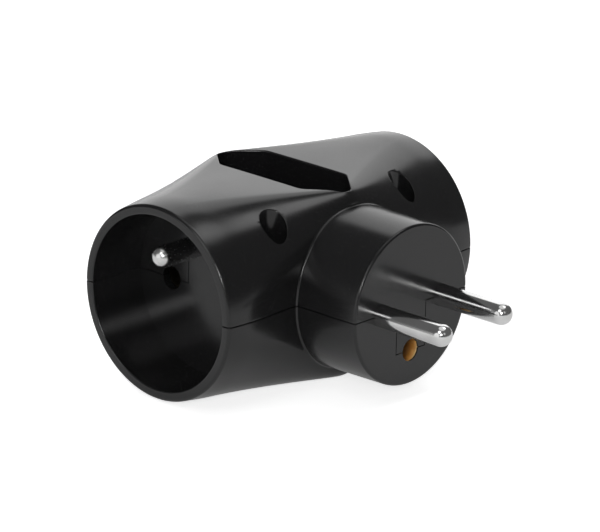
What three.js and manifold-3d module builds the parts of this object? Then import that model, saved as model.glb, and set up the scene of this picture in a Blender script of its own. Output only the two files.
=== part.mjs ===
// Three-way socket adapter: two round recessed sockets, a flat two-pole socket on top and a round plug.
// The sockets share the X axis, the plug faces -Y, and the case parts on the plane through the line pins.
import * as THREE from "three";
import { mergeVertices } from "three/addons/utils/BufferGeometryUtils.js";
import Module from "manifold-3d";

const wasm = await Module();
wasm.setup();

// Pins and outlets, in millimetres
const pinSpacing = 19;
const linePinDiameter = 4.8;
const linePinReach = 19;
const earthPinDiameter = 4.8;
const earthPinReach = 14.6;
const earthOffset = 10;
const flatPinDiameter = 4;

// Case: cups, middle section, plug and walls
const halfLength = 38.1;
const cupOuterRadius = 21.8;
const cupMouthRadius = 19.1;
const cupFloorRadius = 18.9;
const cupDepth = 14.2;
const cupFloorWall = 2;
const cupStraight = 1.7;
const rimRounding = 1;
const mouthRounding = 0.3;
const middleHalfWidth = 20.6;
const middleHalfHeight = 21.1;
const middleCornerRadius = 3.5;
const middleRidgeRounding = 2;
const middleGrowth = 1.45;
const facetHalfAngle = THREE.MathUtils.degToRad(9);
const caseWall = 2.2;
const plugFaceReach = 37.6;
const plugFaceRadius = 17.6;
const plugRootRadius = 17.85;
const plugEdgeRounding = 0.6;
const plugFaceWall = 2.2;

// Flat socket recess
const recessHalfWidth = 7.1;
const recessHalfLength = 18.6;
const recessEndWidth = 2.4;
const recessShoulder = 11.9;
const recessCornerRounding = 1.2;
const recessWall = 1.6;
const recessFloorWall = 1.8;

// Screws and their wells
const screwToEndWall = 1.9;
const screwToFlank = 4.3;
const wellRadius = 2.9;
const wellWall = 1.4;
const screwSeatHeight = 5;
const screwHeadRadius = 2.5;
const screwHeadHeight = 2;
const screwShankRadius = 1.4;
const screwLength = 14;
const screwPoint = 1;
const screwBossWall = 1.5;
const screwHeadEdge = 0.4;
const crossWidth = 0.7;
const crossDepth = 1.2;
const crossReach = 1.5;
const bossSides = 12;

// Tongues that close each earth hole between the shells
const tongueHalfWidth = 4.5;

// Contacts, bars and earth parts
const sheet = 1;
const lineSleeveWall = 0.8;
const lineSleeveBore = 5;
const flatSleeveWall = 0.7;
const flatSleeveBore = 4.2;
const flatSleeveLength = 13.2;
const sleeveSlit = 1.2;
const springThickness = 0.5;
const springWidth = 2;
const flatSpringInset = 0.6;
const barWidth = 6;
const barPastLeg = 2.3;
const barOverlap = 3.5;
const roomOverBars = 2.7;
const legWidth = 5;
const tabHalfHeight = 3.5;
const lugWall = 1.9;
const collarLength = 1.5;
const collarRadius = 3.6;
const rivetRadius = 1.5;
const rivetHeadRadius = 2.3;
const rivetHeadLength = 1;
const earthBarHalfWidth = 2.5;
const earthLegWidth = 2.8;
const earthTubeWall = 0.6;
const earthTubeBoreDepth = 15.2;
const earthTubeRecess = 1;
const earthTubeCollarRadius = 4.2;
const earthDropReach = 16.5;
const ribThickness = 1.5;
const spigotWall = 1;
const spigotLength = 1;

// Clearances
const gap = 0.3;
const socketHolePlay = 0.2;
const earthMouthPlay = 0.1;
const over = 2;

// Derived places
const lineHalf = pinSpacing / 2;
const cupFloorX = halfLength - cupDepth;
const chamberX = cupFloorX - cupFloorWall;
const screwAcross = chamberX - screwToEndWall;
const screwForward = middleHalfWidth - screwToFlank;
const roofZ = middleHalfHeight;
const plugWallY = plugFaceReach - plugFaceWall;
const collarStartY = plugWallY - gap;
const collarEndY = collarStartY - collarLength;
const ribStartY = collarEndY - gap;
const ribEndY = ribStartY - ribThickness;
const tabStartY = ribEndY - gap;
const tabEndY = tabStartY - sheet;
const lineSleeveRadius = lineSleeveBore / 2 + lineSleeveWall;
const flatSleeveRadius = flatSleeveBore / 2 + flatSleeveWall;
const barInnerZ = lineSleeveRadius + gap;
const barOuterZ = barInnerZ + sheet;
const barEndX = lineHalf + legWidth / 2 + barPastLeg;
const sleeveStartX = chamberX - gap;
const sleeveEndX = barEndX - barOverlap;
const ceilingZ = barOuterZ + roomOverBars;
const recessFloorZ = ceilingZ + recessFloorWall;
const earthBarTopZ = ceilingZ - gap;
const earthBarZ = earthBarTopZ - sheet;
const earthCollarEndX = chamberX - gap - collarLength;
const earthTabX = earthCollarEndX - gap;
const earthTubeFront = plugFaceReach - earthTubeRecess;
const earthTubeRadius = earthPinDiameter / 2 + earthTubeWall;
const seam = gap / 2;

// Materials
const materials = {
  plastic: new THREE.MeshStandardMaterial({ color: 0x17171a, roughness: 0.38, metalness: 0 }),
  nickel: new THREE.MeshStandardMaterial({ color: 0xc9c9c6, roughness: 0.18, metalness: 1 }),
  brass: new THREE.MeshStandardMaterial({ color: 0xc09a4a, roughness: 0.3, metalness: 1 }),
  steel: new THREE.MeshStandardMaterial({ color: 0x8f9296, roughness: 0.35, metalness: 1 }),
};

// Turns a geometry into a solid: welds its corners, drops slivers and faces it outward
function solid(geometry) {
  const bare = geometry.clone();
  bare.deleteAttribute("normal");
  bare.deleteAttribute("uv");
  const welded = mergeVertices(bare, 1e-4);
  const points = welded.attributes.position.array;
  const corners = welded.index.array;
  const kept = [];
  let volume = 0;
  for (let i = 0; i < corners.length; i += 3) {
    const [a, b, c] = [corners[i], corners[i + 1], corners[i + 2]];
    if (a === b || b === c || c === a) continue;
    kept.push(a, b, c);
    const p = new THREE.Vector3().fromArray(points, a * 3);
    const q = new THREE.Vector3().fromArray(points, b * 3);
    const r = new THREE.Vector3().fromArray(points, c * 3);
    volume += p.dot(q.cross(r));
  }
  if (volume < 0) kept.reverse();
  return new wasm.Manifold(new wasm.Mesh({
    numProp: 3,
    vertProperties: new Float32Array(points),
    triVerts: new Uint32Array(kept),
  }));
}

// A box between two opposite corners
function block([x0, x1], [y0, y1], [z0, z1]) {
  const geometry = new THREE.BoxGeometry(Math.abs(x1 - x0), Math.abs(y1 - y0), Math.abs(z1 - z0));
  geometry.translate((x0 + x1) / 2, (y0 + y1) / 2, (z0 + z1) / 2);
  return solid(geometry);
}

// Turns a shape modelled along +Y so that it runs along the named axis, through the given centre
function aim(geometry, axis, [u, v]) {
  if (axis === "x") {
    geometry.rotateZ(-Math.PI / 2);
    geometry.translate(0, u, v);
  } else if (axis === "y") {
    geometry.translate(u, 0, v);
  } else {
    geometry.rotateX(Math.PI / 2);
    geometry.translate(u, v, 0);
  }
  return geometry;
}

// A turned piece from its profile of [radius, height] points, closed on the axis
function turned(axis, centre, profile, sides = 20) {
  const points = profile.map(([radius, height]) => new THREE.Vector2(radius, height));
  return solid(aim(new THREE.LatheGeometry(points, sides), axis, centre));
}

// A plain cylinder from one height to another
function rod(axis, centre, radius, from, to, sides = 20) {
  return turned(axis, centre, [[0, from], [radius, from], [radius, to], [0, to]], sides);
}

// Points of a quarter round, from one angle to another about a centre in the profile plane
function arc(radius, centreRadius, centreHeight, from, to, steps) {
  return Array.from({ length: steps + 1 }, (_, i) => {
    const angle = from + ((to - from) * i) / steps;
    return [centreRadius + radius * Math.cos(angle), centreHeight + radius * Math.sin(angle)];
  });
}

// Joins a list of solids
function join(solids) {
  return solids.reduce((sum, next) => sum.add(next));
}

// Both mirror images of a solid given by a side of +1 or -1
function bothSides(make) {
  return make(1).add(make(-1));
}

// One closed section of the case: a circle at weight 0, a rounded rectangle at weight 1.
// Short arcs of the circle spread into the flat sides, so four flat facets meet four fans.
function caseSection(weight, inset, cornerSteps) {
  const circle = cupOuterRadius - inset;
  const width = middleHalfWidth - inset;
  const height = middleHalfHeight - inset;
  const corner = Math.max(middleCornerRadius - inset, 0.3);
  const quarter = [];
  const push = (angle, y, z) => {
    quarter.push([
      THREE.MathUtils.lerp(circle * Math.cos(angle), y, weight),
      THREE.MathUtils.lerp(circle * Math.sin(angle), z, weight),
    ]);
  };
  const flatSteps = 2;
  for (let i = 0; i < flatSteps; i += 1) {
    push((facetHalfAngle * i) / flatSteps, width, ((height - corner) * i) / flatSteps);
  }
  for (let i = 0; i <= cornerSteps; i += 1) {
    const share = i / cornerSteps;
    const turn = (share * Math.PI) / 2;
    const angle = facetHalfAngle + share * (Math.PI / 2 - 2 * facetHalfAngle);
    push(angle, width - corner + corner * Math.cos(turn), height - corner + corner * Math.sin(turn));
  }
  for (let i = 1; i < flatSteps; i += 1) {
    const share = i / flatSteps;
    push(Math.PI / 2 - facetHalfAngle * (1 - share), (width - corner) * (1 - share), height);
  }
  const section = [];
  for (let turn = 0; turn < 4; turn += 1) {
    const mirrored = turn % 2 === 1;
    const points = mirrored ? quarter.slice(1).reverse().concat([quarter[0]]) : quarter;
    const signY = turn === 0 || turn === 3 ? 1 : -1;
    const signZ = turn < 2 ? 1 : -1;
    const start = mirrored ? [[0, THREE.MathUtils.lerp(circle, height, weight)]] : [];
    const ring = mirrored ? start.concat(points.slice(0, -1)) : points;
    ring.forEach(([y, z]) => section.push([y * signY, z * signZ]));
  }
  return section;
}

// How far the section at a place along X has grown from circle to rectangle
function middleWeight(x) {
  const bent = (value) => Math.hypot(value, middleRidgeRounding) - middleRidgeRounding;
  const circleX = halfLength - cupStraight;
  return Math.max(0, 1 - bent(Math.abs(x)) / bent(circleX)) ** middleGrowth;
}

// The case's outer form, or the same form set inward by a wall
function caseForm(inset, reach, rounding, cornerSteps) {
  const circleX = halfLength - cupStraight;
  const shares = [0, 0.05, 0.18, 0.42, 0.7, 1];
  const half = shares.map((share) => ({ x: circleX * share, shrink: 0 }));
  half.push({ x: reach - rounding, shrink: 0 });
  const steps = 3;
  for (let i = 1; i <= steps && rounding > 0; i += 1) {
    const turn = ((Math.PI / 2) * i) / steps;
    half.push({ x: reach - rounding * (1 - Math.sin(turn)), shrink: rounding * (1 - Math.cos(turn)) });
  }
  const stations = half.slice(1).reverse().map((s) => ({ ...s, x: -s.x })).concat(half);
  const positions = [];
  const rings = stations.map(({ x, shrink }) => {
    const first = positions.length / 3;
    caseSection(middleWeight(x), inset + shrink, cornerSteps).forEach(([y, z]) => {
      positions.push(x, y, z);
    });
    return first;
  });
  const count = caseSection(0, inset, cornerSteps).length;
  const faces = [];
  for (let s = 0; s + 1 < rings.length; s += 1) {
    for (let i = 0; i < count; i += 1) {
      const j = (i + 1) % count;
      faces.push(rings[s] + i, rings[s + 1] + i, rings[s + 1] + j);
      faces.push(rings[s] + i, rings[s + 1] + j, rings[s] + j);
    }
  }
  [0, rings.length - 1].forEach((s) => {
    const hub = positions.length / 3;
    positions.push(stations[s].x, 0, 0);
    for (let i = 0; i < count; i += 1) {
      const j = (i + 1) % count;
      const fan = s === 0 ? [hub, rings[s] + i, rings[s] + j] : [hub, rings[s] + j, rings[s] + i];
      faces.push(...fan);
    }
  });
  const geometry = new THREE.BufferGeometry();
  geometry.setAttribute("position", new THREE.Float32BufferAttribute(positions, 3));
  geometry.setIndex(faces);
  return solid(geometry);
}

// The hexagon of the flat socket with rounded corners, grown outward by an amount
function recessOutline(grow) {
  const width = recessHalfWidth + grow;
  const length = recessHalfLength + grow;
  const end = recessEndWidth / 2 + grow * Math.tan(Math.PI / 8);
  const shoulder = recessShoulder + grow * Math.tan(Math.PI / 8);
  const corners = [
    [width, -shoulder], [width, shoulder], [end, length],
    [-end, length], [-width, shoulder], [-width, -shoulder],
    [-end, -length], [end, -length],
  ].map(([x, y]) => new THREE.Vector2(x, y));
  const shape = new THREE.Shape();
  corners.forEach((corner, i) => {
    const before = corners[(i + corners.length - 1) % corners.length];
    const after = corners[(i + 1) % corners.length];
    const back = corner.distanceTo(before);
    const ahead = corner.distanceTo(after);
    const radius = Math.min(recessCornerRounding, back / 3, ahead / 3);
    const enter = corner.clone().lerp(before, radius / back);
    const leave = corner.clone().lerp(after, radius / ahead);
    if (i === 0) shape.moveTo(enter.x, enter.y);
    else shape.lineTo(enter.x, enter.y);
    shape.quadraticCurveTo(corner.x, corner.y, leave.x, leave.y);
  });
  shape.closePath();
  return shape;
}

// The recess outline raised between two heights
function recessPrism(grow, from, to) {
  const geometry = new THREE.ExtrudeGeometry(recessOutline(grow), {
    depth: to - from, bevelEnabled: false, curveSegments: 2,
  });
  geometry.translate(0, 0, from);
  return solid(geometry);
}

// The plug's round body with its softened face edge
function plugBody() {
  const edge = arc(plugEdgeRounding, plugFaceRadius - plugEdgeRounding,
    plugEdgeRounding - plugFaceReach, 0, -Math.PI / 2, 3);
  const root = middleHalfWidth - caseWall;
  return turned("y", [0, 0], [[0, -root], [plugRootRadius, -root], ...edge, [0, -plugFaceReach]], 48);
}

// What a round socket cuts away: a slightly tapered cup with a softened mouth
function cupCutter(side) {
  const mouth = arc(mouthRounding, cupMouthRadius + mouthRounding, halfLength - mouthRounding,
    Math.PI, Math.PI / 2, 2);
  const profile = [
    [0, cupFloorX], [cupFloorRadius, cupFloorX], ...mouth,
    [cupMouthRadius + mouthRounding, halfLength + over], [0, halfLength + over],
  ].map(([radius, x]) => [radius, side * x]);
  return turned("x", [0, 0], profile, 48);
}

// The places of the four case screws
const screwPlaces = [-1, 1].flatMap((x) => [-1, 1].map((y) => [x * screwAcross, y * screwForward]));

// Walls, ribs and bosses that stand inside the hollow case
function innerWalls() {
  const pieces = [recessPrism(recessWall, ceilingZ, roofZ + over)];
  const bossRadius = screwShankRadius + gap + screwBossWall;
  screwPlaces.forEach((place) => {
    const wellOuter = wellRadius + wellWall;
    const wellFoot = screwSeatHeight - wellWall;
    pieces.push(rod("z", place, bossRadius, -cupOuterRadius, cupOuterRadius, bossSides));
    pieces.push(rod("z", place, wellOuter, wellFoot, cupOuterRadius, bossSides));
  });
  pieces.push(block([-plugRootRadius, plugRootRadius], [-ribStartY, -ribEndY],
    [-plugRootRadius, plugRootRadius]));
  const spigotRadius = lineSleeveRadius + gap + spigotWall;
  [-1, 1].forEach((side) => [-1, 1].forEach((row) => {
    pieces.push(rod("x", [row * lineHalf, 0], spigotRadius, side * (chamberX - spigotLength),
      side * (chamberX + over / 2)));
  }));
  const barRibX = recessHalfWidth + recessWall - ribThickness / 2;
  [-1, 1].forEach((side) => {
    const across = [side * barRibX, side * (barRibX + ribThickness)];
    const row = [lineHalf - barWidth / 2, lineHalf + barWidth / 2];
    pieces.push(block(across, row, [barOuterZ + gap, cupOuterRadius]));
    pieces.push(block(across, row.map((y) => -y), [-cupOuterRadius, -barOuterZ - gap]));
  });
  return join(pieces);
}

// Holes that pass through walls and ribs: pins, contacts, screws and wells
function openHoles() {
  const pinHole = linePinDiameter / 2 + gap;
  const earthHole = earthPinDiameter / 2 + gap;
  const socketHole = linePinDiameter / 2 + socketHolePlay;
  const flatHole = flatPinDiameter / 2 + socketHolePlay;
  const earthMouth = earthPinDiameter / 2 + earthMouthPlay;
  const cuts = [];
  [-1, 1].forEach((side) => {
    cuts.push(rod("y", [side * lineHalf, 0], pinHole, -plugFaceReach - over, -ribEndY + over));
    cuts.push(rod("x", [0, earthOffset], earthHole, side * (cupFloorX + over),
      side * (chamberX - over)));
    [-1, 1].forEach((row) => {
      const place = [row * lineHalf, 0];
      cuts.push(rod("x", place, socketHole, side * (cupFloorX + over), side * sleeveEndX));
      cuts.push(rod("x", place, lineSleeveRadius + gap, side * chamberX, side * sleeveEndX));
    });
    cuts.push(rod("z", [0, side * lineHalf], flatHole, ceilingZ - over, recessFloorZ + over));
  });
  cuts.push(rod("y", [0, -earthOffset], earthMouth, -plugFaceReach - over, -plugWallY));
  cuts.push(rod("y", [0, -earthOffset], earthTubeRadius + gap, -earthTubeFront - gap,
    -ribEndY + over));
  screwPlaces.forEach((place) => {
    cuts.push(rod("z", place, screwShankRadius + gap, screwSeatHeight - screwLength - gap,
      screwSeatHeight + over));
    cuts.push(rod("z", place, wellRadius, screwSeatHeight, cupOuterRadius + over));
  });
  return join(cuts);
}

// The whole case before it is parted into two shells
function wholeCase() {
  const outer = caseForm(0, halfLength, rimRounding, 8).add(plugBody());
  const room = block([-chamberX, chamberX], [-plugFaceReach, plugFaceReach],
    [-cupOuterRadius, cupOuterRadius]);
  const collarBore = rod("y", [0, 0], plugFaceRadius - caseWall, -plugWallY, -screwForward, 32);
  const hollow = caseForm(caseWall, halfLength, 0, 4).intersect(room).add(collarBore);
  return outer
    .subtract(hollow.subtract(innerWalls()))
    .subtract(bothSides(cupCutter))
    .subtract(recessPrism(0, recessFloorZ, roofZ + over))
    .subtract(openHoles());
}

// The zone of one shell: its side of the parting plane, and the tongues it lends or borrows
function shellZone(upper) {
  const far = halfLength + over;
  const deep = plugFaceReach + over;
  const play = upper ? -seam : seam;
  const plugTongue = block([-tongueHalfWidth - play, tongueHalfWidth + play],
    [-deep, -ribEndY + seam], [-earthOffset - play, over]);
  const floorTongue = (side) => block([side * (chamberX - seam), side * (cupFloorX + over)],
    [-tongueHalfWidth + play, tongueHalfWidth - play], [-over, earthOffset - play]);
  if (upper) {
    return block([-far, far], [-deep, deep], [seam, far])
      .add(plugTongue)
      .subtract(bothSides(floorTongue));
  }
  return block([-far, far], [-deep, deep], [-far, -seam])
    .subtract(plugTongue)
    .add(bothSides(floorTongue));
}

// A plug pin: round-nosed, with a collar held behind the face and a riveted tail
function linePin(side) {
  const radius = linePinDiameter / 2;
  const tip = plugFaceReach + linePinReach;
  const nose = arc(radius, 0, radius - tip, -Math.PI / 2, 0, 4);
  return turned("y", [side * lineHalf, 0], [
    ...nose,
    [radius, -collarStartY], [collarRadius, -collarStartY], [collarRadius, -collarEndY],
    [radius, -collarEndY], [radius, -ribEndY], [rivetRadius, -ribEndY],
    [rivetRadius, -tabEndY + gap], [rivetHeadRadius, -tabEndY + gap],
    [rivetHeadRadius, -tabEndY + gap + rivetHeadLength], [0, -tabEndY + gap + rivetHeadLength],
  ]);
}

// A socket's earth pin: round-nosed, with a collar behind the floor and a riveted tail
function earthPin(side) {
  const radius = earthPinDiameter / 2;
  const nose = arc(radius, 0, cupFloorX + earthPinReach - radius, Math.PI / 2, 0, 4);
  const tail = earthTabX - sheet - gap;
  return turned("x", [0, earthOffset], [
    ...nose,
    [radius, chamberX - gap], [collarRadius, chamberX - gap], [collarRadius, earthCollarEndX],
    [rivetRadius, earthCollarEndX], [rivetRadius, tail], [rivetHeadRadius, tail],
    [rivetHeadRadius, tail - rivetHeadLength], [0, tail - rivetHeadLength],
  ].map(([r, x]) => [r, side * x]));
}

// The plug's earth contact: a deep sleeve open at the face, with a collar and a riveted tail
function earthTube() {
  const bore = earthPinDiameter / 2;
  const back = earthDropReach + sheet / 2 + gap;
  const tail = earthDropReach - sheet / 2 - gap;
  return turned("y", [0, -earthOffset], [
    [0, -earthTubeFront + earthTubeBoreDepth], [bore, -earthTubeFront + earthTubeBoreDepth],
    [bore, -earthTubeFront], [earthTubeRadius, -earthTubeFront],
    [earthTubeRadius, -collarStartY], [earthTubeCollarRadius, -collarStartY],
    [earthTubeCollarRadius, -collarEndY], [earthTubeRadius, -collarEndY],
    [earthTubeRadius, -back], [rivetRadius, -back], [rivetRadius, -tail],
    [rivetHeadRadius, -tail], [rivetHeadRadius, -tail + rivetHeadLength], [0, -tail + rivetHeadLength],
  ]);
}

// A slit sleeve that grips a pin, from one end to the other along an axis
function sleeve(axis, centre, bore, radius, from, to) {
  const slit = sleeveSlit / 2;
  const opening = axis === "x"
    ? block([from, to], [centre[0] - slit, centre[0] + slit], [centre[1], centre[1] + radius + gap])
    : block([centre[0] - slit, centre[0] + slit], [centre[1], centre[1] + radius + gap], [from, to]);
  return rod(axis, centre, radius, from, to)
    .subtract(rod(axis, centre, bore / 2, Math.min(from, to) - over, Math.max(from, to) + over))
    .subtract(opening);
}

// The four socket contacts, their springs, and the two contacts under the flat socket
function lineContact(side, row) {
  return sleeve("x", [row * lineHalf, 0], lineSleeveBore, lineSleeveRadius,
    side * sleeveStartX, side * sleeveEndX);
}

function lineSpring(side, row) {
  const start = barEndX + gap;
  const inner = lineSleeveRadius + gap;
  return sleeve("x", [row * lineHalf, 0], inner * 2, inner + springThickness,
    side * start, side * (start + springWidth));
}

function flatContact(row) {
  return sleeve("z", [0, row * lineHalf], flatSleeveBore, flatSleeveRadius,
    ceilingZ - gap - flatSleeveLength, ceilingZ - gap);
}

function flatSpring(row) {
  const top = ceilingZ - gap - flatSpringInset;
  const inner = flatSleeveRadius + gap;
  return sleeve("z", [0, row * lineHalf], inner * 2, inner + springThickness, top - springWidth / 2, top);
}

// A line bar: a strip along two socket contacts, with a ring round the flat contact and a leg to its pin.
// The live bar runs under the front contacts, the neutral bar over the rear ones.
function lineBar(row, pinSide, level) {
  const heights = [level * barInnerZ, level * barOuterZ];
  const ringRadius = flatSleeveRadius + gap + lugWall;
  const low = Math.min(...heights);
  const high = Math.max(...heights);
  const legX = [pinSide * lineHalf - legWidth / 2, pinSide * lineHalf + legWidth / 2];
  const tab = block(legX, [-tabStartY, -tabEndY], [-level * tabHalfHeight, level * barOuterZ]);
  return join([
    block([-barEndX, barEndX], [row * lineHalf - barWidth / 2, row * lineHalf + barWidth / 2], heights),
    rod("z", [0, row * lineHalf], ringRadius, low, high),
    block(legX, [-tabStartY, row * lineHalf], heights),
    tab,
  ])
    .subtract(rod("z", [0, row * lineHalf], flatSleeveRadius + gap, low - over, high + over))
    .subtract(rod("y", [pinSide * lineHalf, 0], rivetRadius + gap, -tabStartY - over, -tabEndY + over));
}

// The earth bar: a strip with a tab for each earth pin, and a leg that drops to the plug's earth sleeve
function earthBar() {
  const level = [earthBarZ, earthBarTopZ];
  const legEdge = -flatSleeveRadius - 2 * gap - springThickness;
  const legX = [legEdge - earthLegWidth, legEdge];
  const drop = [-earthDropReach - sheet / 2, -earthDropReach + sheet / 2];
  const foot = rivetHeadRadius + gap + sheet;
  const tab = (side) => block([side * (earthTabX - sheet), side * earthTabX],
    [-earthBarHalfWidth, earthBarHalfWidth], [earthBarZ, earthOffset + foot])
    .subtract(rod("x", [0, earthOffset], rivetRadius + gap, side * earthCollarEndX,
      side * (earthTabX - over)));
  return join([
    block([-earthTabX, earthTabX], [-earthBarHalfWidth, earthBarHalfWidth], level),
    bothSides(tab),
    block(legX, [drop[0], earthBarHalfWidth], level),
    block(legX, drop, [-earthOffset - foot, earthBarTopZ]),
    block([legX[0], foot], drop, [-earthOffset - foot, -earthOffset + foot]),
  ]).subtract(rod("y", [0, -earthOffset], rivetRadius + gap, drop[0] - over, drop[1] + over));
}

// A pan-head case screw that stands in its well, with a cross recess
function caseScrew(place) {
  const seat = screwSeatHeight + gap;
  const top = seat + screwHeadHeight;
  const tip = seat - screwLength;
  const blade = (w, l) => block([place[0] - w, place[0] + w], [place[1] - l, place[1] + l],
    [top - crossDepth, top + over]);
  return turned("z", place, [
    [0, tip], [screwShankRadius, tip + screwPoint], [screwShankRadius, seat],
    [screwHeadRadius, seat], [screwHeadRadius, top - screwHeadEdge],
    [screwHeadRadius - screwHeadEdge, top], [0, top],
  ])
    .subtract(blade(crossWidth / 2, crossReach))
    .subtract(blade(crossReach, crossWidth / 2));
}

// Places every piece in one group that stands on its lowest point, centred on the whole length and depth
const adapter = new THREE.Group();
const tipY = -plugFaceReach - linePinReach;
adapter.position.set(0, -(tipY + cupOuterRadius) / 2, cupOuterRadius);

function place(name, piece, material) {
  const mesh = piece.getMesh();
  const geometry = new THREE.BufferGeometry();
  geometry.setAttribute("position", new THREE.BufferAttribute(Float32Array.from(mesh.vertProperties), 3));
  geometry.setIndex(new THREE.BufferAttribute(Uint32Array.from(mesh.triVerts), 1));
  geometry.computeVertexNormals();
  const node = new THREE.Mesh(geometry, material);
  node.name = name;
  adapter.add(node);
}

const shells = wholeCase();
place("upper_shell", shells.intersect(shellZone(true)), materials.plastic);
place("lower_shell", shells.intersect(shellZone(false)), materials.plastic);
place("live_plug_pin", linePin(-1), materials.nickel);
place("neutral_plug_pin", linePin(1), materials.nickel);
place("plug_earth_sleeve", earthTube(), materials.brass);
place("live_bar", lineBar(-1, -1, -1), materials.brass);
place("neutral_bar", lineBar(1, 1, 1), materials.brass);
place("earth_bar", earthBar(), materials.brass);
[[-1, "left"], [1, "right"]].forEach(([side, name]) => {
  place(`${name}_earth_pin`, earthPin(side), materials.nickel);
  [[-1, "live"], [1, "neutral"]].forEach(([row, pole]) => {
    place(`${name}_${pole}_contact`, lineContact(side, row), materials.brass);
    place(`${name}_${pole}_contact_spring`, lineSpring(side, row), materials.steel);
  });
});
[[-1, "live"], [1, "neutral"]].forEach(([row, pole]) => {
  place(`flat_${pole}_contact`, flatContact(row), materials.brass);
  place(`flat_${pole}_contact_spring`, flatSpring(row), materials.steel);
});
screwPlaces.forEach((spot, i) => place(`case_screw_${i + 1}`, caseScrew(spot), materials.steel));

export default adapter;
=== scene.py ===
# %% [markdown]
# # A three-way socket in black plastic
#
# One plug feeds two round earthed sockets and a flat two-pole socket. The case is moulded in
# two halves that meet on the plane through the pins. This lesson dresses the fixed frame: it
# models the case again as one smooth skin, turns the pins, and gives every part its finish.

# %% Load the frame
import math
import bmesh
import bpy
from mathutils import Matrix, Vector
from mathutils.bvhtree import BVHTree


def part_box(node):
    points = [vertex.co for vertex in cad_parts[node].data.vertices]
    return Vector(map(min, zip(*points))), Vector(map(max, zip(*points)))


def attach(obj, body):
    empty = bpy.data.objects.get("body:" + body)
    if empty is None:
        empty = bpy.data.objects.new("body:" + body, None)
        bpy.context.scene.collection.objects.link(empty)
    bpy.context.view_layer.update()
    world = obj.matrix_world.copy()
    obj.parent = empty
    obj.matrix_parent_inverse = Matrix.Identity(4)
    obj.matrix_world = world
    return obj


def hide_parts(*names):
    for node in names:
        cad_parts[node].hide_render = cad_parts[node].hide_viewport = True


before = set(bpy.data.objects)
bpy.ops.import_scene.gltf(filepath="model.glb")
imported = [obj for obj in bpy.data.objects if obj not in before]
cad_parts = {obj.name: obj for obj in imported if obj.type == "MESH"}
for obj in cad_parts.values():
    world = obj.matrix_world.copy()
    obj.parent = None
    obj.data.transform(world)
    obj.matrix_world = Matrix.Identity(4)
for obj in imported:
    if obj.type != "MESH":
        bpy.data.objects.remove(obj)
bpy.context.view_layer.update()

print("nodes in the frame:", len(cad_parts))

# %% [markdown]
# ## Where things are
#
# The case is easiest to describe in millimetres about the point where the socket axis crosses
# the plug axis. The frame gives that point: the earth pins lie above the socket axis, and the
# plug's pins lie on the parting plane. Only the sizes that the frame doesn't show by itself,
# such as roundings, are written here.

# %% Sizes
MM = 0.001


def span(node):
    """Lowest and highest corner of a node, in millimetres."""
    low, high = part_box(node)
    return Vector(low) / MM, Vector(high) / MM


case_low, case_high = span("upper_shell")
lower_low, _ = span("lower_shell")
pin_low, pin_high = span("live_plug_pin")
earth_low, earth_high = span("right_earth_pin")
origin = Vector((0, (earth_low.y + earth_high.y) / 2, (pin_low.z + pin_high.z) / 2))

half_length = case_high.x
cup_radius = origin.z - lower_low.z
mouth_radius = 19.1
floor_radius = 18.9
cup_depth = 14.2
floor_x = half_length - cup_depth
cup_floor_wall = 2
chamber_x = floor_x - cup_floor_wall
cup_straight = 1.7
rim_rounding = 0.8
rim_ease = 0.45
ease_length = 7.0
mouth_rounding = 0.35

middle_width = 20.6
middle_height = 21.1
middle_corner = 3.5
ridge_rounding = 2
growth = 1.45
facet_half = math.radians(9)
wall = 2.2

plug_reach = origin.y - case_low.y
plug_radius = 17.6
plug_root_radius = 17.85
plug_edge = 0.6
root_fillet = 0.5
collar_start = middle_width + 1.2
pin_tip = origin.y - pin_low.y

recess_width = 7.1
recess_length = 18.6
recess_end = 1.2
recess_shoulder = 11.9
recess_corner = 1.2
recess_wall = 1.6
ceiling_z = 7.3
recess_floor_z = 9.1
recess_edge = 0.35

screw_x = 20
screw_y = 16.3
screw_hole = 1.7
screw_hole_end = -9.3
boss_radius = 3.2
well_radius = 2.9
well_wall = 1.4
well_edge = 0.2
seat_z = 5

pin_radius = 2.4
line_half = 9.5
earth_offset = 10
flat_pin_radius = 2
close_fit = 0.04
hole_play = 0.2
gap = 0.3
seam = 0.1
seam_edge = 0.1
print("case", round(half_length * 2, 1), "mm long, cups", round(cup_radius * 2, 1), "mm across")

# %% [markdown]
# ## Tools for building a skin
#
# A loft is a ring of edges that is extruded again and again, with every new ring moved to its
# place. It suits a moulded form, because one run of rings can go along the outside, round the
# rim and down into a cup without a break, so the shading stays smooth.

# %% Rings and lofts


def placed(name, data):
    """A new object in the scene."""
    obj = bpy.data.objects.new(name, data)
    bpy.context.scene.collection.objects.link(obj)
    return obj


def ring_loft(rings):
    """A closed mesh through a list of rings, each a list of as many points."""
    bm = bmesh.new()
    count = len(rings[0])
    ring = bmesh.ops.create_circle(bm, segments=count, radius=1)["verts"]
    edges = list(bm.edges)
    for vert, point in zip(ring, rings[0]):
        vert.co = point
    bmesh.ops.contextual_create(bm, geom=edges)
    for points in rings[1:]:
        made = bmesh.ops.extrude_edge_only(bm, edges=edges)["geom"]
        fresh = {item for item in made if isinstance(item, bmesh.types.BMVert)}
        edges = [item for item in made if isinstance(item, bmesh.types.BMEdge)
                 and all(vert in fresh for vert in item.verts)]
        ring = [next(edge.other_vert(vert) for edge in vert.link_edges
                     if edge.other_vert(vert) in fresh) for vert in ring]
        for vert, point in zip(ring, points):
            vert.co = point
    bmesh.ops.contextual_create(bm, geom=edges)
    bmesh.ops.recalc_face_normals(bm, faces=bm.faces)
    return bm


def joined(parts):
    """One mesh from several, left overlapping."""
    whole = bmesh.new()
    for part in parts:
        copy = bpy.data.meshes.new("part")
        part.to_mesh(copy)
        whole.from_mesh(copy)
        bpy.data.meshes.remove(copy)
    return whole


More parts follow.
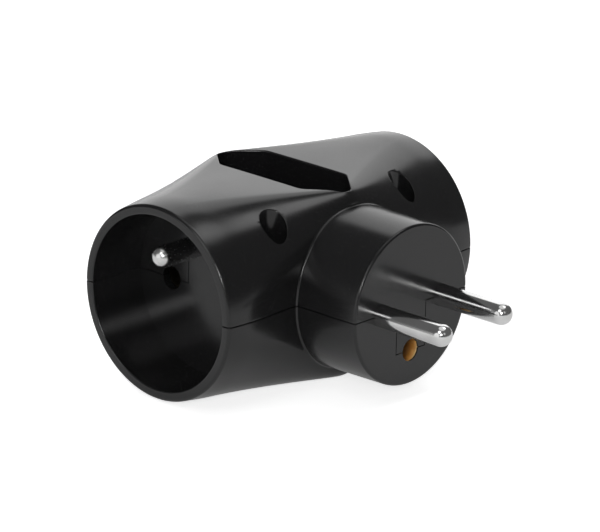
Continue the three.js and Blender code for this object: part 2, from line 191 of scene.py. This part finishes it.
def cut(body, tool, operation="DIFFERENCE", overlapping=False):
    """Cuts one mesh with another and returns the result."""
    objects = []
    for bm in (body, tool):
        mesh = bpy.data.meshes.new("cutting")
        bm.to_mesh(mesh)
        objects.append(placed("cutting", mesh))
    step = objects[0].modifiers.new("cut", "BOOLEAN")
    step.operation = operation
    step.object = objects[1]
    step.solver = "EXACT"
    step.use_self = overlapping
    depsgraph = bpy.context.evaluated_depsgraph_get()
    result = bmesh.new()
    result.from_mesh(objects[0].evaluated_get(depsgraph).to_mesh())
    for obj in objects:
        mesh = obj.data
        bpy.data.objects.remove(obj)
        bpy.data.meshes.remove(mesh)
    return result


def box(low, high):
    """A box between two corners."""
    bm = bmesh.new()
    bmesh.ops.create_cube(bm, size=1)
    size = Vector(high) - Vector(low)
    middle = (Vector(high) + Vector(low)) / 2
    bm.transform(Matrix.Translation(middle) @ Matrix.Diagonal((*map(abs, size), 1)))
    return bm


SHARP_TURN = math.radians(30)
AIMS = {
    "x": Matrix(((0, 0, 1), (1, 0, 0), (0, 1, 0))),
    "y": Matrix(((0, 1, 0), (0, 0, 1), (1, 0, 0))),
    "z": Matrix.Identity(3),
}


def turned(axis, centre, profile, sides=64):
    """A turned piece from [radius, height] points that start and end on the axis."""
    bm = bmesh.new()
    points = [bm.verts.new((radius, 0, height)) for radius, height in profile]
    edges = [bm.edges.new(pair) for pair in zip(points, points[1:])]
    bmesh.ops.spin(bm, geom=points + edges, cent=(0, 0, 0), axis=(0, 0, 1),
                   angle=math.tau, steps=sides, use_merge=True)
    bmesh.ops.remove_doubles(bm, verts=bm.verts, dist=1e-5)
    u, v = centre
    shift = {"x": (0, u, v), "y": (u, 0, v), "z": (u, v, 0)}[axis]
    bm.transform(Matrix.Translation(shift) @ AIMS[axis].to_4x4())
    bmesh.ops.recalc_face_normals(bm, faces=bm.faces)
    return bm


def rod(axis, centre, radius, start, end, sides=48):
    """A plain round bar between two heights."""
    return turned(axis, centre, [(0, start), (radius, start), (radius, end), (0, end)], sides)


def arc(radius, centre_radius, centre_height, start, end, steps):
    """Points of an arc in the profile plane."""
    angles = [start + (end - start) * i / steps for i in range(steps + 1)]
    return [(centre_radius + radius * math.cos(a), centre_height + radius * math.sin(a))
            for a in angles]


def finished(name, bm, material, node, even=False):
    """Turns a mesh in millimetres into the piece that a node of the frame gives way to."""
    bm.transform(Matrix.Diagonal((MM, MM, MM, 1)) @ Matrix.Translation(origin))
    for face in bm.faces:
        face.smooth = True
    for edge in bm.edges:
        bends = len(edge.link_faces) == 2 and edge.calc_face_angle(0) > SHARP_TURN
        edge.smooth = not bends
    mesh = bpy.data.meshes.new(name)
    bm.to_mesh(mesh)
    bm.free()
    mesh.materials.append(material)
    obj = placed(name, mesh)
    if even:
        obj.modifiers.new("even_normals", "WEIGHTED_NORMAL").keep_sharp = True
    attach(obj, "root")
    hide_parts(node)
    print(name, len(mesh.polygons), "faces")
    return obj


# %% [markdown]
# ## A little arithmetic for finishes
#
# A material is a small sum over textures. Wrapping a socket in a class with `+` and `*` lets the
# sum be written as one, and the nodes are made behind it.

# %% Shader sums


class Sum:
    """A shader socket that can be added, multiplied and mixed."""

    def __init__(self, tree, socket):
        self.tree = tree
        self.socket = socket

    def node(self, kind, inputs=None, output=0, **settings):
        """Any other node, with its inputs by name or number."""
        node = self.tree.nodes.new(kind)
        for key, value in settings.items():
            setattr(node, key, value)
        for key, value in (inputs or {}).items():
            if isinstance(value, Sum):
                self.tree.links.new(value.socket, node.inputs[key])
            else:
                node.inputs[key].default_value = value
        return Sum(self.tree, node.outputs[output])

    def math(self, operation, first, second):
        return self.node("ShaderNodeMath", {0: first, 1: second}, operation=operation)

    def __add__(self, other):
        return self.math("ADD", self, other)

    def __radd__(self, other):
        return self.math("ADD", other, self)

    def __mul__(self, other):
        return self.math("MULTIPLY", self, other)

    def __rmul__(self, other):
        return self.math("MULTIPLY", other, self)

    def ramp(self, low, high, to_low=0.0, to_high=1.0):
        """Maps a range to another, smoothly and clamped."""
        return self.node("ShaderNodeMapRange", {0: self, 1: low, 2: high, 3: to_low, 4: to_high},
                         interpolation_type="SMOOTHSTEP")

    def noise(self, scale, detail=4.0, roughness=0.55):
        return self.node("ShaderNodeTexNoise", {"Vector": self, "Scale": scale, "Detail": detail,
                                                "Roughness": roughness})

    def stretch(self, x, y, z):
        return self.node("ShaderNodeVectorMath", {0: self, 1: (x, y, z)}, operation="MULTIPLY")

    def blend(self, first, second):
        """Mixes two colours by this value."""
        node = self.tree.nodes.new("ShaderNodeMix")
        node.data_type = "RGBA"
        self.tree.links.new(self.socket, node.inputs[0])
        for place, colour in ((6, first), (7, second)):
            node.inputs[place].default_value = (*colour, 1)
        return Sum(self.tree, node.outputs[2])


def new_material(name, metallic, **constants):
    """A material with its own shader, and a wrapped socket of object coordinates."""
    material = bpy.data.materials.new(name)
    material.use_nodes = True
    shader = material.node_tree.nodes["Principled BSDF"]
    shader.inputs["Metallic"].default_value = metallic
    for key, value in constants.items():
        shader.inputs[key.replace("_", " ")].default_value = value
    tree = material.node_tree
    place = Sum(tree, tree.nodes.new("ShaderNodeTexCoord").outputs["Object"])
    return material, shader, place


def wire(shader, colour, roughness, height, depth):
    """Joins a finish's colour, roughness and relief to its shader."""
    links = colour.tree.links
    links.new(colour.socket, shader.inputs["Base Color"])
    links.new(roughness.socket, shader.inputs["Roughness"])
    bump = height.node("ShaderNodeBump", {"Height": height, "Distance": depth, "Strength": 1.0})
    links.new(bump.socket, shader.inputs["Normal"])


# %% [markdown]
# ## The finishes
#
# Black moulded plastic is glossy but never perfect: the melt leaves a slow waviness, handling
# leaves faint cloudy patches, and a fine grain breaks up the sharpest highlights. Nickel is
# almost a mirror, with turning lines round the pin. Brass is warmer and stains a little, and
# zinc-plated steel is greyer and rougher. The brass of the contacts and bars inside is painted
# nearly black as painted shade, so the holes in front of them look dark.

# %% Black plastic


def black_plastic():
    material, shader, place = new_material("black_plastic", 0.0, IOR=1.5)
    cloud = place.noise(90, 3)
    smear = place.stretch(60, 60, 240).noise(1.6, 4)
    grain = place.noise(3200, 2)
    wave = place.noise(70, 1)
    dust = place.noise(5200, 1).ramp(0.70, 0.78)
    colour = (dust * 0.12).blend((0.0098, 0.0098, 0.0102), (0.16, 0.16, 0.155))
    roughness = 0.16 + cloud.ramp(0.35, 0.7) * 0.05 + smear.ramp(0.4, 0.8) * 0.05 + dust * 0.2
    height = wave * 0.9 + grain * 0.035
    wire(shader, colour, roughness, height, 0.00002)
    return material


# %% Metals


def plated(name, base, tint, rough, line_scale, line_depth):
    """A bright metal with turning lines across its length and slow stains."""
    material, shader, place = new_material(name, 1.0)
    stain = place.noise(160, 4)
    lines = place.stretch(*line_scale).noise(1.0, 2)
    fleck = place.noise(2600, 3).ramp(0.62, 0.72)
    colour = (stain.ramp(0.35, 0.75) * 0.6).blend(base, tint)
    roughness = rough + stain.ramp(0.3, 0.8) * 0.06 + fleck * 0.1
    wire(shader, colour, roughness, lines + fleck * 0.15, line_depth)
    return material


NICKEL, DULL_NICKEL = (0.79, 0.79, 0.79), (0.62, 0.62, 0.61)
METALS = {
    "plug_nickel": (NICKEL, DULL_NICKEL, 0.11, (250, 9000, 250), 0.0000012),
    "earth_nickel": (NICKEL, DULL_NICKEL, 0.20, (9000, 250, 250), 0.0000012),
    "brass": ((0.93, 0.70, 0.38), (0.70, 0.47, 0.22), 0.30, (900, 900, 900), 0.000002),
    # painted shade: brass made nearly black, so the contacts and bars behind the holes look dark
    "brass_painted_shade": ((0.055, 0.045, 0.03), (0.03, 0.025, 0.018), 0.5, (900, 900, 900), 0.000002),
    "steel": ((0.52, 0.53, 0.55), (0.36, 0.37, 0.40), 0.28, (1200, 1200, 1200), 0.000003),
}
finishes = {"black_plastic": black_plastic()}
for metal_name, looks in METALS.items():
    finishes[metal_name] = plated(metal_name, *looks)
print("finishes:", ", ".join(finishes))

# %% [markdown]
# ## The skin of the case
#
# Every section across the socket axis is a blend of two outlines: the round cup and, in the
# middle, a rounded rectangle. The short arcs at the top, bottom and sides of the circle spread
# into the rectangle's flats, which leaves four flat facets with soft fans between them. The
# same run of rings then leans in a little, rounds the rim and goes down the inside of the cup to
# its floor.

# %% Sections of the case
FLAT_STEPS = 8
CORNER_STEPS = 26
SMALLEST_CORNER = 0.3


def quarter_angles():
    """Each step of a quarter turn: the circle's angle, then the place on the rectangle."""
    steps = [(facet_half * i / FLAT_STEPS, "side", i / FLAT_STEPS) for i in range(FLAT_STEPS)]
    swept = math.pi / 2 - 2 * facet_half
    steps += [(facet_half + swept * i / CORNER_STEPS, "corner", i / CORNER_STEPS)
              for i in range(CORNER_STEPS + 1)]
    steps += [(math.pi / 2 - facet_half * (1 - i / FLAT_STEPS), "top", i / FLAT_STEPS)
              for i in range(1, FLAT_STEPS)]
    return steps


def section(weight, inset):
    """A closed outline across the socket axis: a circle at weight 0, a rectangle at 1."""
    circle = cup_radius - inset
    width = middle_width - inset
    height = middle_height - inset
    corner = max(middle_corner - inset, SMALLEST_CORNER)
    quarter = []
    for angle, stretch, share in quarter_angles():
        turn = share * math.pi / 2
        flat = {
            "side": (width, (height - corner) * share),
            "corner": (width - corner + corner * math.cos(turn),
                       height - corner + corner * math.sin(turn)),
            "top": ((width - corner) * (1 - share), height),
        }[stretch]
        quarter.append((circle * math.cos(angle) * (1 - weight) + flat[0] * weight,
                        circle * math.sin(angle) * (1 - weight) + flat[1] * weight))
    peak = (0, circle * (1 - weight) + height * weight)
    up = quarter + [peak] + [(-y, z) for y, z in reversed(quarter[1:])]
    down = [(-y, -z) for y, z in up]
    return up + down


def weight_at(x):
    """How far the section has grown from circle to rectangle."""
    bent = [math.hypot(value, ridge_rounding) - ridge_rounding
            for value in (abs(x), half_length - cup_straight)]
    return max(0, 1 - bent[0] / bent[1]) ** growth


def section_ring(x, inset=0.0):
    return [(x, y, z) for y, z in section(weight_at(x), inset)]


def circle_ring(x, radius):
    return [(x, y, z) for y, z in section(0, cup_radius - radius)]


# %% The skin with its two cups
LOFT_STEPS = 44
CROWDING = 1.25
RIM_STEPS = 10
MOUTH_STEPS = 5


def eased(x):
    """How far the skin leans in towards the rim."""
    run = ease_length - rim_rounding
    return rim_ease * (max(0, x - half_length + ease_length) / run) ** 2


def half_rings():
    """Rings from the middle of the case out to the rim and down to the cup's floor."""
    straight_start = half_length - cup_straight
    spread = [(i / LOFT_STEPS) ** CROWDING * straight_start for i in range(1, LOFT_STEPS + 1)]
    spread += [straight_start + (cup_straight - rim_rounding) * share for share in (0.35, 0.7)]
    rings = [section_ring(x, eased(x)) for x in spread]
    lean = 2 * rim_ease / (ease_length - rim_rounding)
    rings += [circle_ring(x, radius) for radius, x in
              arc(rim_rounding, cup_radius - rim_ease - rim_rounding, half_length - rim_rounding,
                  lean, math.pi / 2, RIM_STEPS)]
    rings += [circle_ring(x, radius) for radius, x in
              arc(mouth_rounding, mouth_radius + mouth_rounding, half_length - mouth_rounding,
                  math.pi / 2, math.pi, MOUTH_STEPS)]
    for share in (0.25, 0.5, 0.75):
        x = half_length - mouth_rounding + (floor_x - half_length) * share
        rings.append(circle_ring(x, mouth_radius + (floor_radius - mouth_radius) * share))
    rings += [circle_ring(floor_x, floor_radius * share) for share in (1, 0.9, 0.75, 0.5, 0.25)]
    return rings


half = half_rings()
other = [[(-x, y, z) for x, y, z in ring] for ring in reversed(half)]
skin = ring_loft(other + [section_ring(0)] + half)
skin_tree = BVHTree.FromBMesh(skin)
print("skin:", len(skin.faces), "faces")

# %% [markdown]
# ## The plug's collar, the wells and the flat recess
#
# Each of these meets the curved skin along a bent line. A ray cast on to the skin gives its
# height at every point of the outline, so the collar can grow a small fillet at its root, and
# the holes can have an evenly rounded edge, as the mould gives them.

# %% Height of the skin
OUTSIDE = 60


def front_of_skin(x, z):
    """Where the skin's front lies, as a distance along -Y."""
    hit = skin_tree.ray_cast(Vector((x, -OUTSIDE, z)), Vector((0, 1, 0)))[0]
    return -hit.y


def top_of_skin(x, y):
    return skin_tree.ray_cast(Vector((x, y, OUTSIDE)), Vector((0, 0, -1)))[0].z


# %% Collar
COLLAR_SIDES = 160
COLLAR_RINGS = 8
EDGE_STEPS = 5
FACE_EDGE_STEPS = 6
ROOT_SINK = 1.5
ROOT_LAP = 0.02


def collar():
    """The plug's round body, filleted into the flank and softened at its face."""
    turns = [math.tau * i / COLLAR_SIDES for i in range(COLLAR_SIDES)]

    def ring(radius, depth):
        return [(radius * math.cos(a), -depth(radius, a), radius * math.sin(a)) for a in turns]

    def on_skin(lift):
        return lambda radius, a: front_of_skin(radius * math.cos(a), radius * math.sin(a)) + lift

    rings = [ring(plug_root_radius + root_fillet, on_skin(-ROOT_SINK))]
    for i in range(EDGE_STEPS + 1):
        angle = math.pi / 2 * i / EDGE_STEPS
        radius = plug_root_radius + root_fillet * (1 - math.sin(angle))
        lift = root_fillet * (1 - math.cos(angle)) - ROOT_LAP
        rings.append(ring(radius, on_skin(lift)))
    for i in range(1, COLLAR_RINGS):
        share = i / COLLAR_RINGS
        radius = plug_root_radius + (plug_radius - plug_root_radius) * share
        depth = collar_start + (plug_reach - plug_edge - collar_start) * share
        rings.append(ring(radius, lambda r, a, depth=depth: depth))
    for radius, depth in arc(plug_edge, plug_radius - plug_edge, plug_reach - plug_edge,
                             0, math.pi / 2, FACE_EDGE_STEPS):
        rings.append(ring(radius, lambda r, a, depth=depth: depth))
    return ring_loft(rings)


# %% Cutting tools with rounded mouths
SKIN_LAP = 0.01
BEYOND = 2
WELL_SIDES = 48
RECESS_STEPS = 6


def flared(outline, bottom, edge):
    """A cutter that follows an outline up to the skin and flares out over its edge."""
    def ring(grow, height):
        return [(x, y, height(x, y)) for x, y in outline(grow)]

    rings = [ring(0, lambda x, y: bottom)]
    for i in range(EDGE_STEPS + 1):
        angle = math.pi / 2 * i / EDGE_STEPS
        sink = edge * (1 - math.sin(angle))
        rings.append(ring(edge * (1 - math.cos(angle)),
                          lambda x, y, sink=sink: top_of_skin(x, y) - sink + SKIN_LAP))
    rings.append(ring(edge, lambda x, y: cup_radius + BEYOND))
    return ring_loft(rings)


def well_outline(centre):
    """The round outline of a screw's well, about its place."""
    def outline(grow):
        radius = well_radius + grow
        turns = [math.tau * i / WELL_SIDES for i in range(WELL_SIDES)]
        return [(centre[0] + radius * math.cos(a), centre[1] + radius * math.sin(a))
                for a in turns]
    return outline


def recess_outline(grow):
    """The long hexagon with cut ends, its corners rounded."""
    lean = math.tan(math.pi / 8)
    width, length = recess_width + grow, recess_length + grow
    end, shoulder = recess_end + grow * lean, recess_shoulder + grow * lean
    corners = [Vector(c) for c in (
        (width, -shoulder), (width, shoulder), (end, length), (-end, length),
        (-width, shoulder), (-width, -shoulder), (-end, -length), (end, -length))]
    points = []
    for i, corner in enumerate(corners):
        before, after = corners[i - 1], corners[(i + 1) % len(corners)]
        reach = min(recess_corner, (corner - before).length / 3, (corner - after).length / 3)
        enter = corner + (before - corner).normalized() * reach
        leave = corner + (after - corner).normalized() * reach
        for step in range(RECESS_STEPS + 1):
            t = step / RECESS_STEPS
            points.append((enter * (1 - t) ** 2 + corner * 2 * t * (1 - t) + leave * t * t)[:])
        straight = (after - corner).length - 2 * reach
        for step in range(1, RECESS_STEPS):
            along = (after - corner).normalized() * straight * step / RECESS_STEPS
            points.append((leave + along)[:])
    return points


screw_places = [(x * screw_x, y * screw_y) for x in (-1, 1) for y in (-1, 1)]

# %% [markdown]
# ## The hollow inside
#
# The halves are shells. The hollow is the same loft set in by the wall, less what stands in it:
# the flat recess's walls, the screw bosses, and the rib that holds the plug's pins.

# %% Hollow and holes
HOLLOW_STEPS = 12
SMALL_SIDES = 24
pin_hole_depth = 7
rib_front = 4
rib_back = 5.5
into_chamber = 1
line_into_chamber = 1.2
sleeve_play = 0.02
sleeve_hole_depth = 2.3
sleeve_seat_depth = 0.35
sleeve_seat_radius = 3.05


def prism(outline, bottom, top):
    return ring_loft([[(x, y, bottom) for x, y in outline], [(x, y, top) for x, y in outline]])


def hollow():
    """The room between the two cup floors, less what stands in it."""
    rings = [section_ring(chamber_x * (2 * i / HOLLOW_STEPS - 1), wall)
             for i in range(HOLLOW_STEPS + 1)]
    room = ring_loft(rings)
    inner = [prism(recess_outline(recess_wall), ceiling_z, cup_radius)]
    for place in screw_places:
        inner.append(rod("z", place, boss_radius, -cup_radius, cup_radius, SMALL_SIDES))
        inner.append(rod("z", place, well_radius + well_wall, seat_z - well_wall, cup_radius,
                         SMALL_SIDES))
    return cut(room, joined(inner), overlapping=True)


def plug_hollow():
    """The room in the plug, less the rib that the pins' collars lean on."""
    bore = rod("y", (0, 0), plug_radius - wall, -plug_reach + wall, -screw_y, 64)
    rib = box((-plug_radius, -plug_reach + rib_back, -plug_radius),
              (plug_radius, -plug_reach + rib_front, plug_radius))
    return cut(bore, rib)


def holes():
    """Every hole that a pin passes, as close-fitting rods."""
    before_face, inside = -plug_reach - BEYOND, -plug_reach + pin_hole_depth
    outer = half_length + BEYOND
    tools = []
    for side in (-1, 1):
        tools.append(rod("y", (side * line_half, 0), pin_radius + close_fit, before_face, inside))
        tools.append(rod("x", (0, earth_offset), pin_radius + close_fit,
                         side * outer, side * (chamber_x - into_chamber)))
        for row in (-1, 1):
            tools.append(rod("x", (row * line_half, 0), pin_radius + hole_play,
                             side * outer, side * (chamber_x - line_into_chamber)))
        tools.append(rod("z", (0, side * line_half), flat_pin_radius + hole_play,
                         ceiling_z - BEYOND, recess_floor_z + BEYOND))
    tools.append(rod("y", (0, -earth_offset), pin_radius + sleeve_play, before_face,
                     -plug_reach + sleeve_hole_depth))
    tools.append(rod("y", (0, -earth_offset), sleeve_seat_radius,
                     -plug_reach + sleeve_seat_depth, inside))
    for place in screw_places:
        tools.append(rod("z", place, screw_hole, screw_hole_end, seat_z + 1, SMALL_SIDES))
    return tools


# %% The whole case
case = cut(skin, collar(), "UNION")
cutters = [flared(well_outline(place), seat_z, well_edge) for place in screw_places]
cutters.append(flared(recess_outline, recess_floor_z, recess_edge))
cutters += holes()
case = cut(case, joined([hollow(), plug_hollow()]), overlapping=True)
case = cut(case, joined(cutters), overlapping=True)
print("case:", len(case.faces), "faces")

# %% [markdown]
# ## Parting the case
#
# A tongue on one half closes each earth hole, because a pin can't sit on the parting line and
# above it at once. The halves meet with a hairline seam.

# %% Two halves
tongue_half = 4.5
tongue_depth = 5.6
tongue_root = 2
past_chamber = 0.1


def zone(upper):
    """The room of one half: its side of the plane, with the tongues it lends or borrows."""
    far = half_length + BEYOND
    play = -seam if upper else seam
    tongue = box((-tongue_half - play, -plug_reach - BEYOND, -earth_offset - play),
                 (tongue_half + play, -plug_reach + tongue_depth, tongue_root))
    floors = []
    for side in (-1, 1):
        start, end = sorted((side * (chamber_x - past_chamber), side * (floor_x + BEYOND)))
        floors.append(box((start, -tongue_half + play, -tongue_root),
                          (end, tongue_half - play, earth_offset - play)))
    if upper:
        room = box((-far, -far, seam), (far, far, far))
        return cut(cut(room, tongue, "UNION"), joined(floors))
    room = box((-far, -far, -far), (far, far, -seam))
    return cut(cut(room, tongue), joined(floors), "UNION")


SEAM_TURN = math.radians(50)
SIDE_MARGIN = 1.3
FRONT_MARGIN = 0.7


def soften_seam(shell, level):
    """Rounds the outer edge of a half where it meets the other, so the seam catches light."""
    def on_seam(edge):
        return all(abs(vert.co.z - level) < 1e-3 for vert in edge.verts)

    def outside(point):
        return (abs(point.y) > cup_radius - SIDE_MARGIN or abs(point.x) > floor_x
                or -point.y > middle_width - FRONT_MARGIN)

    edges = [edge for edge in shell.edges
             if on_seam(edge) and len(edge.link_faces) == 2
             and edge.calc_face_angle(0) > SEAM_TURN
             and outside((edge.verts[0].co + edge.verts[1].co) / 2)]
    bmesh.ops.bevel(shell, geom=edges, offset=seam_edge, offset_type="OFFSET", segments=2,
                    profile=0.5, affect="EDGES", clamp_overlap=True, material=-1)
    return len(edges)


for half_name, upper in (("upper", True), ("lower", False)):
    shell = cut(case, zone(upper), "INTERSECT")
    bmesh.ops.remove_doubles(shell, verts=shell.verts, dist=1e-4)
    print("edges softened:", soften_seam(shell, seam if upper else -seam))
    piece = finished(f"{half_name}_case_half", shell, finishes["black_plastic"],
                     f"{half_name}_shell", even=True)

# %% [markdown]
# ## Pins
#
# The pins are turned from bar and nickel plated, with a round nose. They seat behind the case's
# face with a collar, and a riveted tail holds the contact strip.

# %% Turned pins
collar_radius = 3.6
collar_length = 1.5
collar_depth = wall + gap
tail_depth = 5.8
rivet_radius = 1.5
rivet_head = 2.3
rivet_head_length = 1
NOSE_STEPS = 16


def pin_profile(nose_height, collar_front, collar_back, tail_end, rivet_end):
    """Half the outline of a round-nosed pin, from its nose inward."""
    nose = arc(pin_radius, 0, nose_height - pin_radius, math.pi / 2, 0, NOSE_STEPS)
    return nose + [
        (pin_radius, collar_front), (collar_radius, collar_front), (collar_radius, collar_back),
        (pin_radius, collar_back), (pin_radius, tail_end), (rivet_radius, tail_end),
        (rivet_radius, rivet_end + rivet_head_length), (rivet_head, rivet_end + rivet_head_length),
        (rivet_head, rivet_end), (0, rivet_end)]


collar_front = plug_reach - collar_depth
plug_profile = pin_profile(pin_tip, collar_front, collar_front - collar_length,
                           plug_reach - tail_depth, pin_tip - (pin_high.y - pin_low.y))
for side, pole in ((-1, "live"), (1, "neutral")):
    profile = [(radius, -height) for radius, height in plug_profile]
    pin = finished(f"{pole}_plug_pin_turned", turned("y", (side * line_half, 0), profile),
                   finishes["plug_nickel"], f"{pole}_plug_pin")

earth_collar = chamber_x - gap
earth_profile = pin_profile(earth_high.x, earth_collar, earth_collar - collar_length,
                            earth_collar - collar_length, earth_low.x)
for side, name in ((-1, "left"), (1, "right")):
    profile = [(radius, side * height) for radius, height in earth_profile]
    pin = finished(f"{name}_earth_pin_turned", turned("x", (0, earth_offset), profile),
                   finishes["earth_nickel"], f"{name}_earth_pin")

# %% [markdown]
# ## The plug's earth sleeve
#
# The earth pin of another socket slides into this brass sleeve. Its mouth lies just behind the
# plug's face, so the bright bore shows in the hole.

# %% Earth sleeve
sleeve_end = origin.y - span("plug_earth_sleeve")[1].y
mouth = plug_reach - 0.4
bore_end = mouth - 15.8
funnel_start = mouth - 2.6
lip = mouth - 0.2
sleeve_radius = 3
sleeve_bore = 2.05
sleeve_collar = 4.2
collar_end = collar_front - collar_length
tail_start = 17.3
rivet_start = 15.7
sleeve_profile = [
    (0, bore_end), (sleeve_bore, bore_end), (sleeve_bore, funnel_start), (pin_radius, lip),
    (pin_radius + 0.1, mouth), (sleeve_radius, mouth), (sleeve_radius, collar_front),
    (sleeve_collar, collar_front), (sleeve_collar, collar_end), (sleeve_radius, collar_end),
    (sleeve_radius, tail_start), (rivet_radius, tail_start), (rivet_radius, rivet_start),
    (rivet_head, rivet_start), (rivet_head, sleeve_end), (0, sleeve_end)]
sleeve = finished("plug_earth_sleeve_turned",
                  turned("y", (0, -earth_offset), [(r, -h) for r, h in sleeve_profile]),
                  finishes["brass"], "plug_earth_sleeve")

# %% [markdown]
# ## What stays from the frame
#
# The contacts, bars, springs and screws are seen only through holes, so their own solids are
# good enough. Each gets its metal; the contacts and bars get brass painted nearly black, which
# is painted shade for the dark holes.

# %% Metals on the inner parts
for node_name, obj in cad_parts.items():
    steel = "spring" in node_name or "screw" in node_name
    # contacts and bars: brass painted nearly black as painted shade in the holes
    metal = finishes["steel" if steel else "brass_painted_shade"]
    if "shell" in node_name:
        metal = finishes["black_plastic"]
    elif node_name.endswith("pin"):
        metal = finishes["plug_nickel"]
    obj.data.materials.clear()
    obj.data.materials.append(metal)

# %% [markdown]
# ## Light
#
# Black gloss shows only what it mirrors, so the light is the surroundings. Soft boxes of light
# stand at the left, overhead and behind at the right, and the camera's side is dim. Each box is
# a cone of directions with a soft edge. The background is white to the camera alone, and the
# floor is lifted to white for it and a little in mirrors, and still takes a soft shadow.

# %% Studio light
DIM = 0.12
FROM_BELOW = 0.45
HORIZON = 0.02
SOFT_EDGE = 4
LEAST_EDGE = 0.001
BOXES = {
    "left wall": ((-97, 6), 27, 0.85),
    "upper left box": ((-76, 47), 13, 2.0),
    "overhead": ((60, 84), 26, 0.65),
    "overhead lamp": ((72, 65), 10, 1.8),
    "back right box": ((131, 24), 28, 1.15),
    "front card": ((-12, 30), 9, 0.55),
    "lamp by the camera": ((-50, 24), 4, 24.0),
}


def aimed(azimuth, elevation):
    """The direction of a light: 0 degrees is in front of the plug, 90 at its right."""
    a, e = math.radians(azimuth), math.radians(elevation)
    return math.sin(a) * math.cos(e), -math.cos(a) * math.cos(e), math.sin(e)


def studio():
    """Surroundings made of cones of light over a dim room, white where the camera looks."""
    world = bpy.data.worlds.new("studio")
    bpy.context.scene.world = world
    world.use_nodes = True
    tree = world.node_tree
    background = tree.nodes["Background"]
    background.inputs["Color"].default_value = (1, 1, 1, 1)
    direction = Sum(tree, tree.nodes.new("ShaderNodeTexCoord").outputs["Generated"])
    height = direction.node("ShaderNodeSeparateXYZ", {0: direction}, 2)
    light = DIM + height.ramp(-HORIZON, HORIZON, FROM_BELOW, 0.0)
    for place, half_angle, level in BOXES.values():
        facing = direction.node("ShaderNodeVectorMath", {0: direction, 1: aimed(*place)},
                                "Value", operation="DOT_PRODUCT")
        rim, core = (math.cos(math.radians(half_angle + edge)) for edge in (SOFT_EDGE, -SOFT_EDGE))
        light = light + facing.ramp(rim, max(core, rim + LEAST_EDGE)) * level
    seen = Sum(tree, tree.nodes.new("ShaderNodeLightPath").outputs["Is Camera Ray"])
    light = light.math("MAXIMUM", light, seen)
    tree.links.new(light.socket, background.inputs["Strength"])


studio()

# %% Floor
FLOOR_HALF = 1.5
CAMERA_LIFT = 0.75
MIRROR_LIFT = 0.2


def floor():
    """A pale floor, lifted to white for the camera, that still takes a shadow."""
    bm = bmesh.new()
    bmesh.ops.create_grid(bm, x_segments=4, y_segments=4, size=FLOOR_HALF)
    mesh = bpy.data.meshes.new("floor")
    bm.to_mesh(mesh)
    obj = placed("floor", mesh)
    material, shader, place = new_material("floor_white", 0.0)
    shade = place.noise(8, 2)
    wire(shader, shade.blend((0.86, 0.86, 0.86), (0.9, 0.9, 0.9)),
         0.7 + shade * 0.1, shade, 0.0001)
    shader.inputs["Emission Strength"].default_value = 1
    path = place.tree.nodes.new("ShaderNodeLightPath")
    seen, mirrored, through = (Sum(place.tree, path.outputs[name]) for name in (
        "Is Camera Ray", "Is Glossy Ray", "Is Transmission Ray"))
    lift = seen * CAMERA_LIFT + (mirrored + through) * MIRROR_LIFT
    place.tree.links.new(lift.socket, shader.inputs["Emission Color"])
    mesh.materials.append(material)


floor()

# %% [markdown]
# ## Camera
#
# The camera stands where the photograph was taken: far off with a long lens, a little above
# the object and to the left of the plug.

# %% Camera
VIEW_AZIMUTH, VIEW_ELEVATION, VIEW_ROLL = (math.radians(v) for v in (-47.191, 18.926, 1.148))
AIM_RIGHT, AIM_UP, DISTANCE = -4.02, 0.64, 871.946
FOCAL_PIXELS, IMAGE_WIDTH = 4044.304, 600
SENSOR = 36

back = Vector((math.sin(VIEW_AZIMUTH) * math.cos(VIEW_ELEVATION),
               -math.cos(VIEW_AZIMUTH) * math.cos(VIEW_ELEVATION), math.sin(VIEW_ELEVATION)))
level = Vector((0, 0, 1)).cross(back).normalized()
upright = back.cross(level)
right = level * math.cos(VIEW_ROLL) + upright * math.sin(VIEW_ROLL)
up = upright * math.cos(VIEW_ROLL) - level * math.sin(VIEW_ROLL)
eye = back * DISTANCE - right * AIM_RIGHT - up * AIM_UP

camera = placed("camera", bpy.data.cameras.new("camera"))
camera.matrix_world = (Matrix.Translation((eye + origin) * MM)
                       @ Matrix((right, up, back)).transposed().to_4x4())
camera.data.sensor_width = SENSOR
camera.data.lens = FOCAL_PIXELS / IMAGE_WIDTH * SENSOR
camera.data.clip_start = 0.05
bpy.context.scene.camera = camera
bpy.context.scene.view_settings.view_transform = "Standard"
print("camera", [round(v, 3) for v in camera.matrix_world.translation])
